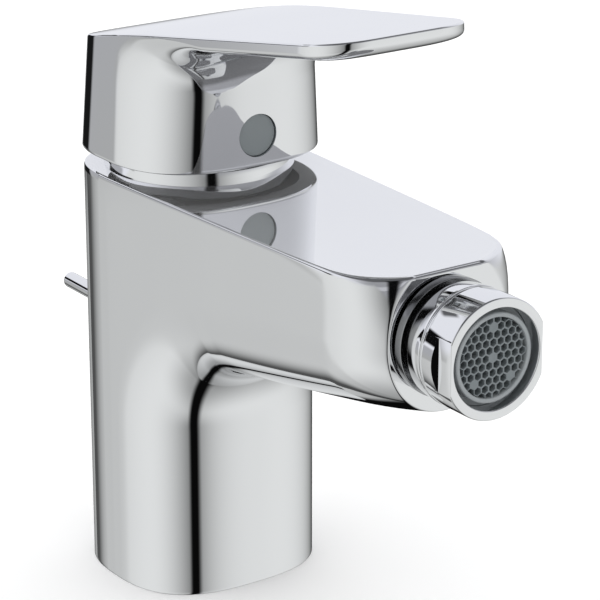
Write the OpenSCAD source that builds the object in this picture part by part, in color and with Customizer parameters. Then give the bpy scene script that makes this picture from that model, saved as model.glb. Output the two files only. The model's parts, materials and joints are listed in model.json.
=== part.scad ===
// Single-lever bidet mixer: column with a short spout, swivel aerator and pop-up rod.
// Millimetres, +Z up, spout towards -Y, base of the column at z = 0.

/* [Column] */
// half width of the column across the spout
col_hw = 25.5; // [22:0.1:30]
// half depth of the column along the spout
col_hd = 22.65; // [20:0.05:28]
// squareness of the column outline, 2 is an ellipse
col_pow = 2.79; // [2.2:0.01:4]
// height of the flat deck above the base
deck_z = 100; // [90:0.5:120]
// wall of the hollow foot
foot_wall = 3.2; // [2.5:0.1:5]
// height of the hollow in the foot
foot_h = 36; // [25:0.5:40]

/* [Spout] */
// distance from the column axis to the flat end face
nose_y = 95.5; // [85:0.5:120]
// depth of the end face below the deck
nose_drop = 31.4; // [26:0.1:36]
// rise of the underside towards the nose in degrees
under_rise = 8.8; // [4:0.1:14]
// fillet between the column and the underside
under_r = 18; // [10:0.5:22]
// narrowing of each side per mm to the power 1.1
side_taper = 0.029; // [0.01:0.001:0.05]
// extra narrowing of each side at the end face
nose_pinch = 5.5; // [3:0.1:8]
// length of the pinched part of the nose
nose_len = 13.5; // [9:0.5:20]
// depth of the widest line of the end face below the deck
nose_mid_drop = 14.4; // [10:0.1:18]
// half height of the oval of the end face
nose_hh = 17.5; // [16:0.1:20]
// depth of the outlet centre below the deck
outlet_drop = 14.9; // [12:0.1:18]

/* [Lever] */
// gap between the deck and the lower rim of the cap
cap_gap = 4.2; // [3.8:0.1:8]
// half width of the cap at its rim
cap_hw = 26.2; // [24:0.1:30]
// front of the cap at its rim
cap_front = 24.8; // [23:0.1:28]
// back of the cap at its rim
cap_back = 21.8; // [20:0.1:24]
// lean of the cap front in degrees
cap_lean = 0; // [0:0.5:6]
// narrowing of each side of the cap per mm of height
cap_taper = 0.055; // [0:0.005:0.1]
// fillet between the cap and the blade
blade_r = 12; // [6:0.5:14]
// distance from the column axis to the tip
tip_y = 80.2; // [60:0.2:100]
// thickness of the blade on its centre line
blade_t = 4.2; // [3:0.1:6]
// depth of the rounding underneath the blade edge
blade_edge = 3.2; // [1:0.1:3.4]
// rise of the blade in degrees
blade_rise = 9.1; // [4:0.1:15]
// height of the top above the deck where it crosses the column axis
top_h = 33.3; // [28:0.1:40]
// radius of the arched back half of the top
top_r = 400; // [250:10:600]
// height of the hollow in the cap above its rim
cap_hollow = 20.3; // [14:0.1:22]
// wall of the cap
cap_wall = 3.4; // [2.5:0.1:5]
// bevel of the heel that clears the deck when lifted, in degrees
heel_bevel = 26; // [15:1:35]
// start of the heel bevel behind the axis
heel_start = 13; // [9:0.5:16]
// diameter of the index plug
plug_d = 10; // [7:0.1:12]
// height of the index plug above the deck
plug_h = 11.6; // [10:0.1:16]

/* [Cartridge] */
// bore of the cartridge pocket
pocket_r = 17.6; // [17:0.1:18.5]
// depth of the cartridge pocket below the deck
pocket_depth = 40; // [36:0.5:42]
// radius of the cartridge housing
cart_r = 17.4; // [16.5:0.1:18]
// depth of the lever pivot below the deck
pivot_drop = 16; // [13:0.5:18]
// radius of the pivot pin
pin_r = 2; // [1.5:0.1:2.5]
// width of the lever stem
stem_w = 8; // [6:0.1:9]
// radius of the ball on the stem end
ball_end_r = 3; // [2.5:0.1:3.2]
// radius of the moving disc
disc_r = 11.3; // [11:0.1:11.8]
// thickness of each ceramic disc
disc_t = 3.5; // [3:0.1:4]
// radius of the ring nut
nut_r = 19; // [18.5:0.1:19.5]
// radius of the trim ring on the deck
trim_r = 22.2; // [20.5:0.1:22.3]
// inward slope of the trim ring
trim_slope = 12; // [0:1:20]
// height of the trim ring
trim_h = 3.2; // [2.5:0.1:3.6]
// spacing of the two inlets from the middle
inlet_x = 7.2; // [7:0.1:8]
// distance of the inlets in front of the axis
inlet_y = 5; // [4:0.1:6]
// minor radius of the M10x1 hose sockets
hose_r = 4.45; // [4:0.05:4.6]
// minor radius of the M8 stud socket
stud_r = 3.32; // [3:0.01:3.6]

/* [Swivel aerator] */
// radius of the swivel housing
swivel_r = 13.2; // [13:0.1:14]
// distance from the end face to the outlet rim
rim_len = 16.4; // [15:0.1:20]
// bore of the outlet rim
rim_bore_r = 11.05; // [10.5:0.05:11.3]
// half distance across the wrench flats
flat_hw = 11.8; // [11.4:0.1:12.4]
// length of the wrench flats
flat_len = 4.2; // [3:0.1:5]
// distance from the end face to the ball centre
ball_off = 8.5; // [8:0.1:9.5]
// radius of the ball
ball_r = 9.3; // [8.5:0.1:9.4]
// radius of the collar on the end face
collar_r = 11.2; // [10.8:0.05:11.3]
// length of the collar
collar_len = 5.7; // [4:0.1:5.8]
// radius of the water way through the ball
ball_bore = 6; // [4:0.1:6.5]
// pitch of the honeycomb cells
cell_pitch = 1.9; // [1.6:0.05:2.6]
// wall between honeycomb cells
cell_wall = 0.34; // [0.25:0.01:0.5]
// radius of the honeycomb field
comb_r = 8.7; // [8:0.1:9]

/* [Pop-up rod] */
// radius of the upright rod
rod_r = 2.5; // [2:0.1:3]
// radius of the handle peg
peg_r = 2; // [1.5:0.1:2.3]
// distance of the rod from the back of the column
rod_inset = 7.15; // [6.5:0.05:8.5]
// height of the peg in its upper place
peg_z = 52.3; // [48:0.1:53]
// reach of the peg behind the axis
peg_reach = 62.6; // [45:0.1:80]
// travel of the rod
rod_travel = 22; // [15:0.5:23]

/* [Clearances] */
// running clearance of turning fits
run_gap = 0.06; // [0.03:0.01:0.1]
// free gap between parts that move past each other
free_gap = 0.3; // [0.2:0.05:0.5]
// gap of screwed and slipped fits
fit_gap = 0.05; // [0.02:0.01:0.1]

/* [Hidden] */
$fn = 64;
// heights that follow the deck
nose_low_z = deck_z - nose_drop;
nose_mid_z = deck_z - nose_mid_drop;
outlet_z = deck_z - outlet_drop;
cap_z = deck_z + cap_gap;
top_z = deck_z + top_h;
cap_roof = cap_z + cap_hollow;
plug_z = deck_z + plug_h;
floor_z = deck_z - pocket_depth;
pivot_z = deck_z - pivot_drop;
rim_y = nose_y + rim_len;
// lateral levels on each side of the middle
side_n = 12;
// steps across the block
cross_n = 6;
// stations in a fillet, even
fillet_n = 12;
// stations along an underside
run_n = 12;
// outermost lateral level
t_end = 0.995;
// taper exponent of the spout sides
taper_pow = 1.1;
// roundness of the nose, 2 at the end face and squarer behind it
nose_pow = 2.05;
nose_pow_rise = 0.5;
// share of the pinch that starts at a crease, and the curve of the rest
crease = 0.2;
pinch_pow = 3;
// inset of the nose corner at the end face
nose_inset = 17;
// softness of the change from the cap corner to the blade edge
soft_pow = 3;
// squareness of the blade edge and length of the rounding under the tip
blade_pow = 4;
tip_under = 7;
// narrowing of the blade per mm
blade_taper = 0.062;
// start of the blade narrowing
blade_taper_y = 5;
// flat half width and rounding length of the tip
tip_hw = 9;
tip_len = 10.2;
tip_pow = 2.2;
// place on the top where the arch turns straight
arch_y = 20;
// pieces of the cartridge, from the floor up
stem_grip = 13.8;
socket_rise = 4;
neck_len = 9;
seal_h = 1.4;
seal_r = 5.2;
port_r = 2.2;
base_z = floor_z + 0.4;
disc_z = base_z + 3.6;
move_z = disc_z + disc_t + fit_gap;
carrier_z = move_z + disc_t - fit_gap;
carrier_h = 4.2;
ball_end_z = carrier_z + ball_end_r + free_gap;
rotor_z = carrier_z + carrier_h + 0.8;
rotor_top = pivot_z + 4.5;
chamber_r = cart_r - 2.7;
shoulder_z = deck_z - neck_len;
neck_r = cart_r - 4.8;
neck_bore = neck_r - 1.9;
neck_top = deck_z - 3.5;
stem_top = cap_z + stem_grip;
boss_z = cap_z + socket_rise;
nut_top = deck_z + 1;
ring_z = pivot_z - 4.5;
ball_y = nose_y + ball_off;
liner_r = ball_r + 0.7;
ball_back = 1 - ball_off;
ball_front = 2.2;
liner_back = -1.3;
liner_front = 1.6;
// chords of a ball section
zone_n = 16;
insert_y = ball_y + 2.8;
// overrun of every cut
cut = 1;
// points of a drawn outline
outline_n = 48;
// seal in the foot
gasket_inset = 1;
gasket_w = 1.4;
gasket_h = 1.2;
// sockets of the hoses and the stud
socket_len = 12;
stud_y = 4;
// undercut of the pocket that leads the mixed water to the spout
relief_w = 1.6;
relief_h = 8;
way_r = 4.5;
way_rise = 35;
way_y = 14;
way_z = floor_z + 6;
way_len = 36;
channel_r = 7;
channel_y = 38;
// thread of the ball nipple and its seal
thread_r = 9;
thread_len = 9;
nipple_seal_w = 1.8;
nipple_seal_h = 2;
seal_y = nose_y - thread_len - nipple_seal_h;
collar_chamfer = 0.3;
neck_wall = 1.5;
// guide of the pop-up rod
rod_y = col_hd - rod_inset;
rod_foot = 2;
peg_chamfer = 0.4;
slot_gap = 0.2;
slot_low = peg_z - rod_travel - rod_r - 3.8;
slot_high = peg_z + rod_r + 0.5;
bush_wall = 1.5;
boss_hw = rod_r + 4;
boss_front = rod_y - rod_r - 3;
boss_low = 3;
boss_high = slot_low - 1;
// screw, socket and plug of the lever
screw_r = 2.5;
screw_tip = 10;
hex_r = 1.44;
hex_depth = 2.5;
socket_wall = 4;
socket_front = stem_w / 2 + 5.5;
driver_r = 3;
plug_seat = 3.2;
plug_t = 2.6;
heel_cut = cap_hw + cap_back;
heel_wall = 1.6;
heel_thin_y = -1;
heel_thin_h = 6;
cap_slim = 1;
// trim ring and ring nut
trim_gap = 0.4;
trim_lip = 1.4;
trim_bore = neck_r + 1.9;
key_w = 3;
key_depth = 2.5;
key_len = 4;
// groove of the housing seal
groove_d = 1.2;
groove_h = 1.6;
// mixed outlet and mixing hollow of the discs
out_y = 6.5;
out_r = 3;
out_h = 2.2;
mix_y = 3.5;
mix_r = 6;
mix_h = 1.8;
seal_w = 1.8;
// slot of the rotor, pin and stem
stem_gap = 0.1;
stem_back = stem_w / 2 + 5;
stem_front = stem_w / 2 + 3;
stem_foot = pin_r + 1.8;
stem_neck_r = 2.2;
pin_half = chamber_r - 1.5;
// swivel housing, its retainer and the insert
throat_r = 9.2;
flat_run = 0.6;
seam = -0.4;
bead_front = -1.2;
bead_back = -1.7;
skirt_back = -5.5;
skirt_gap = 1.1;
skirt_bore = collar_r + skirt_gap;
retainer_back = -1;
retainer_bore = 8;
bead_step = 0.3;
groove_step = 0.4;
washer_t = 0.8;
insert_flange = 0.6;
insert_r = comb_r + 1.05;
insert_recess = 1;
screen_back = 1.6;
screen_recess = 1.4;
// cells along each row, the closed ones among them and rim of the field
cell_n = 7;
closed_cells = [[0, 0], [-2, 4], [4, -3], [-1, -3]];
field_rim = 0.3;
// the piece to show

// depth of a rounded corner at lateral level t
function inset(t, depth, power) = depth * (1 - pow(1 - pow(abs(t), power), 1 / power));
// lateral level of index j, closer together towards the sides
function level(j) = t_end * sin(90 * (j - side_n) / side_n);

// half width of the body at distance f and height z
function body_hw(f, z) =
    let (pinch = max(0, (f - nose_y + nose_len) / nose_len),
        squareness = nose_pow + nose_pow_rise * max(0, nose_y - f),
        up = min(0.999, max(0, z - nose_mid_z) / nose_hh))
    (col_hw - side_taper * pow(max(0, f), taper_pow)
        - nose_pinch * (crease * pinch + (1 - crease) * pow(pinch, pinch_pow)))
    * pow(1 - pow(up, squareness), 1 / squareness);

fillet_z = nose_low_z - under_r * cos(under_rise)
    - (nose_y - col_hd - under_r + under_r * sin(under_rise)) * tan(under_rise);
under_f = col_hd + under_r - under_r * sin(under_rise);
body_n = 1 + fillet_n + run_n;

// corner depth and squareness of the body along the underside
function body_depth(u) = col_hd + (nose_inset - col_hd) * u * u;
function body_power(u) = col_pow + (nose_pow - col_pow) * u * u;

// point of the front and underside at station i, level t, as distance and height
function body_low(i, t) =
    i == 0 ? [col_hd - inset(t, col_hd, col_pow), 0] :
    i <= 1 + fillet_n ?
        let (a = 180 - (90 - under_rise) * (i - 1) / fillet_n, d = under_r + inset(t, col_hd, col_pow))
        [col_hd + under_r + d * cos(a), fillet_z + d * sin(a)] :
    let (u = sin(90 * (i - 1 - fillet_n) / run_n), d = inset(t, body_depth(u), body_power(u)),
        f = under_f + (nose_y - under_f) * u, z = nose_low_z - (nose_y - f) * tan(under_rise))
    [f - d * sin(under_rise) * (1 - u), z + d / cos(under_rise)];

// point of the back and deck at station i, level t
function body_high(i, t) =
    let (back = -col_hd + inset(t, col_hd, col_pow), low = body_low(i, t), v = 2 * (i - 1) / fillet_n)
    i <= 1 ? [back, low[1]] :
    i <= 1 + fillet_n / 2 ?
        [back, body_low(1, t)[1] + (deck_z - body_low(1, t)[1]) * v] :
    i <= 1 + fillet_n ? [back + (body_low(1 + fillet_n, t)[0] - back) * (v - 1), deck_z] :
    [low[0], deck_z];

// point of the body block
function body_point(i, k, j) =
    let (t = level(j), p = body_low(i, t) * (1 - k / cross_n) + body_high(i, t) * k / cross_n)
    [t * body_hw(p[0], p[1]), -p[0], p[1]];

// half width of the lever at distance f and height z
function lever_hw(f, z) =
    let (w = cap_hw - cap_taper * (z - cap_z) - blade_taper * max(0, f - blade_taper_y),
        e = min(1, max(0, (f - tip_y + tip_len) / tip_len)))
    tip_hw + (w - tip_hw) * pow(1 - pow(e, tip_pow), 1 / tip_pow);
// height of the lever top
function lever_top(f) =
    let (s = tan(blade_rise), q = min(0, f - arch_y))
    top_z + s * f + (arch_y * arch_y - q * q) / (2 * top_r);

tip_low_z = lever_top(tip_y) - blade_t / cos(blade_rise);
// fillet of the cap: centre on both the offset front line and the offset underside line
blade_c_f = cap_front + blade_r / cos(cap_lean)
    - (tip_low_z - blade_r / cos(blade_rise) - (tip_y - cap_front) * tan(blade_rise) - cap_z) * tan(cap_lean);
blade_c_z = tip_low_z - (tip_y - blade_c_f) * tan(blade_rise) - blade_r / cos(blade_rise);
blade_f = blade_c_f - blade_r * sin(blade_rise);
lever_n = 2 + fillet_n + run_n;

// corner depth in the fillet at angle a: deep on the cap, shallow under the blade
function fillet_depth(a) =
    let (room = (blade_r + blade_edge) / max(0.01, sin(a)) - blade_r)
    pow(pow(cap_front, -soft_pow) + pow(room, -soft_pow), -1 / soft_pow);
// front and underside of the lever at station i, level t
function lever_low(i, t) =
    i <= 1 ?
        let (z = cap_z + (blade_c_z - cap_z - blade_r * sin(cap_lean)) * i * 0.5)
        [cap_front - (z - cap_z) * tan(cap_lean) - inset(t, cap_front, col_pow) / cos(cap_lean), z] :
    i <= 2 + fillet_n ?
        let (v = (i - 2) / fillet_n, a = 180 + cap_lean - (90 + cap_lean - blade_rise) * v,
            depth = fillet_depth(a),
            power = col_pow + (blade_pow - col_pow) * v, d = blade_r + inset(t, depth, power))
        [blade_c_f + d * cos(a), blade_c_z + d * sin(a)] :
    let (u = sin(90 * (i - 2 - fillet_n) / run_n), f = blade_f + (tip_y - blade_f) * u,
        e = max(0, f - tip_y + tip_under) / tip_under)
    [f, tip_low_z - (tip_y - f) * tan(blade_rise)
        + blade_edge * (1 - (1 - inset(t, 1, blade_pow)) * (1 - inset(e, 1, tip_pow)))];

// back line of the cap at height z
function cap_back_at(z, t) = -cap_back + (z - cap_z) * cap_taper + inset(t, cap_back, col_pow);
// back and top of the lever at station i, level t
function lever_high(i, t) =
    let (low = lever_low(i, t), back = cap_back_at(lever_top(-cap_back), t), v = 2 * (i - 2) / fillet_n)
    i <= 2 ? [cap_back_at(low[1], t), low[1]] :
    i <= 2 + fillet_n / 2 ?
        let (z = lever_low(2, t)[1] + (lever_top(back) - lever_low(2, t)[1]) * v)
        [cap_back_at(z, t), z] :
    i <= 2 + fillet_n ?
        let (f = back + (lever_low(2 + fillet_n, t)[0] - back) * (v - 1))
        [f, lever_top(f)] :
    [low[0], lever_top(low[0])];

// point of the lever block
function lever_point(i, k, j) =
    let (t = level(j), p = lever_low(i, t) * (1 - k / cross_n) + lever_high(i, t) * k / cross_n)
    [t * lever_hw(p[0], p[1]), -p[0], p[1]];

// faces of a block of points counted by i, then k, then j
function at(i, k, j, nk, nj) = (i * (nk + 1) + k) * (nj + 1) + j;
function quad(a, b, c, d, flip) = flip ? [[a, c, b], [a, d, c]] : [[a, b, c], [a, c, d]];
function block_faces(ni, nk, nj) = [
    for (i = [0:ni - 1], j = [0:nj - 1], s = [0, 1])
        each quad(at(i, s * nk, j, nk, nj), at(i, s * nk, j + 1, nk, nj),
            at(i + 1, s * nk, j + 1, nk, nj), at(i + 1, s * nk, j, nk, nj), s == 0),
    for (i = [0:ni - 1], k = [0:nk - 1], s = [0, 1])
        each quad(at(i, k, s * nj, nk, nj), at(i + 1, k, s * nj, nk, nj),
            at(i + 1, k + 1, s * nj, nk, nj), at(i, k + 1, s * nj, nk, nj), s == 0),
    for (k = [0:nk - 1], j = [0:nj - 1], s = [0, 1])
        each quad(at(s * ni, k, j, nk, nj), at(s * ni, k + 1, j, nk, nj),
            at(s * ni, k + 1, j + 1, nk, nj), at(s * ni, k, j + 1, nk, nj), s == 0)];

// outline of the column family, drawn as a rounded oval
function oval(hw, front, back, power, n) = [
    for (s = [0:n - 1])
        let (a = 360 * s / n, c = cos(a), q = sin(a), d = q < 0 ? front : back)
        [hw * sign(c) * pow(abs(c), 2 / power), d * sign(q) * pow(abs(q), 2 / power)]];

// upright and level helpers
module bar_z(r, z0, z1) { translate([0, 0, z0]) cylinder(r = r, h = z1 - z0); }
module bar_y(r, f0, f1, z) { translate([0, -f0, z]) rotate([90, 0, 0]) cylinder(r = r, h = f1 - f0); }
module bar_x(r, half, f, z) { translate([-half, -f, z]) rotate([0, 90, 0]) cylinder(r = r, h = 2 * half); }
module box(x0, x1, f0, f1, z0, z1) { translate([x0, -f1, z0]) cube([x1 - x0, f1 - f0, z1 - z0]); }
module tube_z(r0, r1, z0, z1) {
    difference() {
        bar_z(r1, z0, z1);
        bar_z(r0, z0 - cut, z1 + cut);
    }
}
module tube_y(r0, r1, f0, f1, z) {
    difference() {
        bar_y(r1, f0, f1, z);
        bar_y(r0, f0 - cut, f1 + cut, z);
    }
}
// ball on the outlet axis
module outlet_ball(r) { translate([0, -ball_y, outlet_z]) sphere(r = r); }

// arc of a ball section between two distances from its centre, in short chords
function ball_arc(r, f0, f1) = [
    for (q = [0:zone_n])
        let (a = acos(f0 / r) + (acos(f1 / r) - acos(f0 / r)) * q / zone_n)
        [r * sin(a), r * cos(a)]];
// ring or slice of a ball on the outlet axis
module ball_turn(points) {
    translate([0, -ball_y, outlet_z]) rotate([90, 0, 0]) rotate_extrude() polygon(points);
}

module body_skin() {
    polyhedron([for (i = [0:body_n], k = [0:cross_n], j = [0:2 * side_n]) body_point(i, k, j)],
        block_faces(body_n, cross_n, 2 * side_n));
}
module lever_skin() {
    polyhedron([for (i = [0:lever_n], k = [0:cross_n], j = [0:2 * side_n]) lever_point(i, k, j)],
        block_faces(lever_n, cross_n, 2 * side_n));
}

// outline of the foot, set in from its edge, and the ring of its seal
module foot_outline(edge) {
    polygon(oval(col_hw - edge, col_hd - edge, col_hd - edge, col_pow, outline_n));
}
module gasket_outline() {
    difference() {
        foot_outline(gasket_inset);
        foot_outline(gasket_inset + gasket_w);
    }
}

// cast body with pocket, water ways, sockets and the slot of the pop-up rod
module body_casting() {
    color("silver") union() {
        difference() {
            body_skin();
            bar_z(pocket_r, floor_z, deck_z + cut);
            bar_z(nut_r + fit_gap, shoulder_z - cut, deck_z + cut);
            bar_z(pocket_r + relief_w, floor_z, floor_z + relief_h);
            translate([0, 0, -cut]) linear_extrude(foot_h + cut) foot_outline(foot_wall);
            translate([0, 0, -cut]) linear_extrude(gasket_h + cut) gasket_outline();
            for (s = [-1, 1]) translate([s * inlet_x, -inlet_y, 0]) {
                bar_z(hose_r, foot_h - cut, foot_h + socket_len);
                bar_z(port_r, foot_h, floor_z + cut);
            }
            translate([0, stud_y, 0]) bar_z(stud_r, foot_h - cut, foot_h + socket_len);
            bar_y(thread_r + fit_gap, seal_y - free_gap, nose_y + cut, outlet_z);
            bar_y(channel_r, channel_y, nose_y, outlet_z);
            translate([0, -way_y, way_z]) rotate([90 - way_rise, 0, 0]) cylinder(r = way_r, h = way_len);
            box(-rod_r - slot_gap, rod_r + slot_gap, -col_hd - cut, -rod_y + rod_r + free_gap,
                slot_low, slot_high);
        }
        difference() {
            box(-boss_hw, boss_hw, -col_hd + foot_wall / 2, -boss_front, boss_low, boss_high);
            translate([0, rod_y, 0]) bar_z(rod_r + bush_wall, 0, boss_high + cut);
        }
    }
}

// lever: hollow cap with a blade, a socket for the stem and the plug hole
module lever_handle() {
    color("gainsboro") difference() {
        lever_skin();
        difference() {
            translate([0, 0, cap_z - cut]) linear_extrude(cap_roof - cap_z + cut)
                polygon(oval(cap_hw - cap_wall - cap_slim, cap_front - cap_wall - cap_slim,
                    cap_back - cap_wall, col_pow, outline_n));
            box(-stem_w / 2 - socket_wall, stem_w / 2 + socket_wall, -stem_w / 2 - socket_wall, socket_front,
                boss_z, cap_roof + cut);
        }
        box(-stem_w / 2 - fit_gap, stem_w / 2 + fit_gap, -stem_w / 2 - fit_gap, stem_w / 2 + fit_gap,
            boss_z - cut, stem_top + fit_gap);
        bar_y(screw_r, stem_w / 2, socket_front + cut, plug_z);
        translate([0, -cap_front, plug_z]) rotate([90 - cap_lean, 0, 0])
            translate([0, 0, -plug_seat]) cylinder(r = plug_d / 2, h = plug_seat + blade_r);
        bar_y(driver_r, socket_front + cut, cap_front - plug_seat + cut, plug_z);
        translate([0, heel_start, cap_z]) rotate([heel_bevel, 0, 0])
            translate([-heel_cut, 0, -heel_cut]) cube([2 * heel_cut, heel_cut, heel_cut]);
        intersection() {
            translate([0, 0, cap_z - cut]) linear_extrude(heel_thin_h + cut)
                polygon(oval(cap_hw - heel_wall, cap_front, cap_back - heel_wall, col_pow, outline_n));
            translate([-heel_cut, heel_thin_y, cap_z - cut]) cube(2 * heel_cut);
        }
    }
}

// round plug over the lever screw
module index_plug() {
    color("gray") translate([0, -cap_front, plug_z]) rotate([90 - cap_lean, 0, 0])
        translate([0, 0, -plug_seat]) cylinder(r = plug_d / 2 - fit_gap, h = plug_t);
}

// screw that holds the lever on its stem, with a hexagon socket
module lever_grub_screw() {
    color("dimgray") difference() {
        bar_y(screw_r - fit_gap, stem_w / 2, screw_tip, plug_z);
        translate([0, hex_depth - screw_tip, plug_z]) rotate([90, 0, 0])
            cylinder(r = hex_r, h = hex_depth + cut, $fn = 6);
    }
}

// bright sloping ring between the deck and the cap
module trim_ring() {
    color("silver") translate([0, 0, deck_z]) rotate_extrude()
        polygon([[nut_r + trim_gap, 0], [trim_r, 0], [trim_r - trim_h * tan(trim_slope), trim_h],
            [trim_bore, trim_h], [trim_bore, trim_lip], [nut_r + trim_gap, trim_lip]]);
}

// ring nut that clamps the cartridge
module cartridge_nut() {
    color("goldenrod") difference() {
        tube_z(neck_r + free_gap, nut_r, shoulder_z, nut_top);
        for (a = [0:90:270]) rotate(a)
            translate([neck_r - cut, -key_w / 2, nut_top - key_depth])
                cube([key_len, key_w, key_depth + cut]);
    }
}

// cartridge housing, open below
module cartridge_housing() {
    color("whitesmoke") rotate_extrude()
        polygon([[chamber_r, disc_z], [cart_r, disc_z], [cart_r, ring_z], [cart_r - groove_d, ring_z],
            [cart_r - groove_d, ring_z + groove_h], [cart_r, ring_z + groove_h],
            [cart_r, shoulder_z], [neck_r, shoulder_z],
            [neck_r, neck_top], [neck_bore, neck_top], [neck_bore, rotor_top + free_gap],
            [chamber_r, rotor_top + free_gap]]);
}

// seal between the housing and the pocket
module cartridge_o_ring() { color("black") tube_z(cart_r - groove_d, pocket_r, ring_z, ring_z + groove_h); }

// foot of the cartridge with two inlets and a side outlet
module cartridge_base() {
    color("whitesmoke") difference() {
        bar_z(cart_r, base_z, disc_z);
        for (s = [-1, 1]) translate([s * inlet_x, -inlet_y, 0]) {
            bar_z(port_r, base_z - cut, disc_z + cut);
            bar_z(seal_r, base_z - cut, floor_z + seal_h);
        }
        translate([0, out_y, 0]) bar_z(out_r, base_z + cut, disc_z + cut);
        box(-out_r, out_r, -cart_r - cut, -out_y, base_z - cut, base_z + out_h);
    }
}

// two rings that seal the inlets on the floor of the pocket
module port_seals() {
    color("black") for (s = [-1, 1]) translate([s * inlet_x, -inlet_y, 0])
        tube_z(seal_r - seal_w, seal_r, floor_z, floor_z + seal_h);
}

// lower ceramic disc
module fixed_disc() {
    color("ivory") difference() {
        bar_z(chamber_r - fit_gap, disc_z, disc_z + disc_t);
        for (s = [-1, 1]) translate([s * inlet_x, -inlet_y, 0])
            bar_z(port_r, disc_z - cut, disc_z + disc_t + cut);
        translate([0, out_y, 0]) bar_z(out_r, disc_z - cut, disc_z + disc_t + cut);
    }
}

// upper ceramic disc with its mixing hollow
module moving_disc() {
    color("ivory") difference() {
        bar_z(disc_r, move_z, carrier_z);
        translate([0, mix_y, 0]) bar_z(mix_r, move_z - cut, move_z + mix_h);
    }
}

// carrier that moves the upper disc
module disc_carrier() {
    color("lightsteelblue") difference() {
        bar_z(disc_r, carrier_z, carrier_z + carrier_h);
        bar_z(ball_end_r + run_gap, carrier_z - cut, carrier_z + carrier_h + cut);
    }
}

// turning guide with the slot of the stem
module cartridge_rotor() {
    color("lightsteelblue") difference() {
        union() {
            bar_z(chamber_r - run_gap, rotor_z, rotor_top);
            bar_z(neck_bore - run_gap, rotor_z, neck_top);
        }
        box(-stem_w / 2 - stem_gap, stem_w / 2 + stem_gap, -stem_back, stem_front,
            rotor_z - cut, neck_top + cut);
        bar_x(pin_r, pin_half, 0, pivot_z);
    }
}

// pin of the lever
module stem_pin() { color("lightgray") bar_x(pin_r, pin_half, 0, pivot_z); }

// stem of the lever with its ball end
module lever_stem() {
    color("darkgray") difference() {
        union() {
            box(-stem_w / 2, stem_w / 2, -stem_w / 2, stem_w / 2, pivot_z - stem_foot, stem_top);
            bar_z(stem_neck_r, ball_end_z, pivot_z - pin_r - cut);
            translate([0, 0, ball_end_z]) sphere(r = ball_end_r);
        }
        bar_x(pin_r + run_gap, stem_w, 0, pivot_z);
    }
}

// nipple screwed into the nose, with collar, neck and ball
module ball_nipple() {
    color("silver") difference() {
        union() {
            bar_y(thread_r, nose_y - thread_len, nose_y, outlet_z);
            bar_y(collar_r, nose_y, nose_y + collar_len - collar_chamfer, outlet_z);
            translate([0, collar_chamfer - nose_y - collar_len, outlet_z]) rotate([90, 0, 0])
                cylinder(r1 = collar_r, r2 = collar_r - collar_chamfer, h = collar_chamfer);
            bar_y(ball_bore + neck_wall, nose_y, ball_y, outlet_z);
            ball_turn(concat([[0, ball_front], [0, ball_back]], ball_arc(ball_r, ball_back, ball_front)));
        }
        bar_y(ball_bore, nose_y - thread_len - cut, ball_y + ball_front + cut, outlet_z);
    }
}

// seal behind the nipple
module nipple_seal() {
    color("black") tube_y(thread_r - nipple_seal_w, thread_r, seal_y, seal_y + nipple_seal_h, outlet_z);
}

// sealing liner around the ball
module ball_liner() {
    color("dimgray") ball_turn(concat(ball_arc(liner_r - run_gap, liner_back, liner_front),
        ball_arc(ball_r + run_gap, liner_front, liner_back)));
}

// housing with the wrench flats and the outlet rim
module swivel_housing() {
    color("silver") difference() {
        bar_y(swivel_r, ball_y + seam, rim_y, outlet_z);
        outlet_ball(liner_r);
        bar_y(liner_r, ball_y + seam - cut, ball_y, outlet_z);
        bar_y(throat_r, ball_y, rim_y, outlet_z);
        bar_y(rim_bore_r, insert_y, rim_y + cut, outlet_z);
        for (s = [0, 1]) mirror([s, 0, 0]) translate([0, 0, outlet_z - swivel_r])
            linear_extrude(2 * swivel_r)
                polygon([[flat_hw, -rim_y - cut], [swivel_r + cut, -rim_y - cut],
                    [swivel_r + cut, flat_len + flat_run - rim_y], [flat_hw, flat_len - rim_y]]);
    }
}

// ring that holds the liner from behind, with a skirt over the collar, a bead and a groove
module swivel_retainer() {
    color("silver") difference() {
        translate([0, -ball_y, outlet_z]) rotate([90, 0, 0]) rotate_extrude()
            polygon([[retainer_bore, retainer_back], [skirt_bore, retainer_back], [skirt_bore, skirt_back],
                [swivel_r - bead_step, skirt_back], [swivel_r, bead_back], [swivel_r, bead_front],
                [swivel_r - groove_step, bead_front + bead_step / 2],
                [swivel_r - groove_step, seam], [retainer_bore, seam]]);
        outlet_ball(liner_r);
    }
}

// washer behind the insert
module aerator_gasket() {
    color("black") tube_y(throat_r, rim_bore_r - fit_gap, insert_y, insert_y + washer_t, outlet_z);
}

// insert with its collar and front ring
module aerator_insert() {
    color("gray") difference() {
        union() {
            bar_y(rim_bore_r - fit_gap, insert_y + washer_t, insert_y + washer_t + insert_flange, outlet_z);
            bar_y(insert_r, insert_y + washer_t, rim_y - insert_recess, outlet_z);
        }
        bar_y(comb_r, insert_y - cut, rim_y, outlet_z);
    }
}

// place of cell i in row j, and whether it is one of the four closed ones
function cell_at(i, j) = [(i + j / 2) * cell_pitch, j * cell_pitch * sin(60)];
function closed_cell(i, j) = len([for (c = closed_cells) if (c == [i, j]) c]) > 0;

// honeycomb screen with four closed cells
module aerator_screen() {
    cell_r = (cell_pitch - cell_wall) / 2 / cos(30);
    color("gray") translate([0, -insert_y - screen_back, outlet_z]) rotate([90, 0, 0])
        linear_extrude(rim_y - insert_y - screen_back - screen_recess) difference() {
            circle(r = comb_r - fit_gap);
            intersection() {
                circle(r = comb_r - field_rim);
                for (i = [-cell_n:cell_n], j = [-cell_n:cell_n])
                    let (middle = cell_at(i, j))
                    if (norm(middle) < comb_r && !closed_cell(i, j))
                        translate(middle) rotate(30) circle(r = cell_r, $fn = 6);
            }
        }
}

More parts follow.
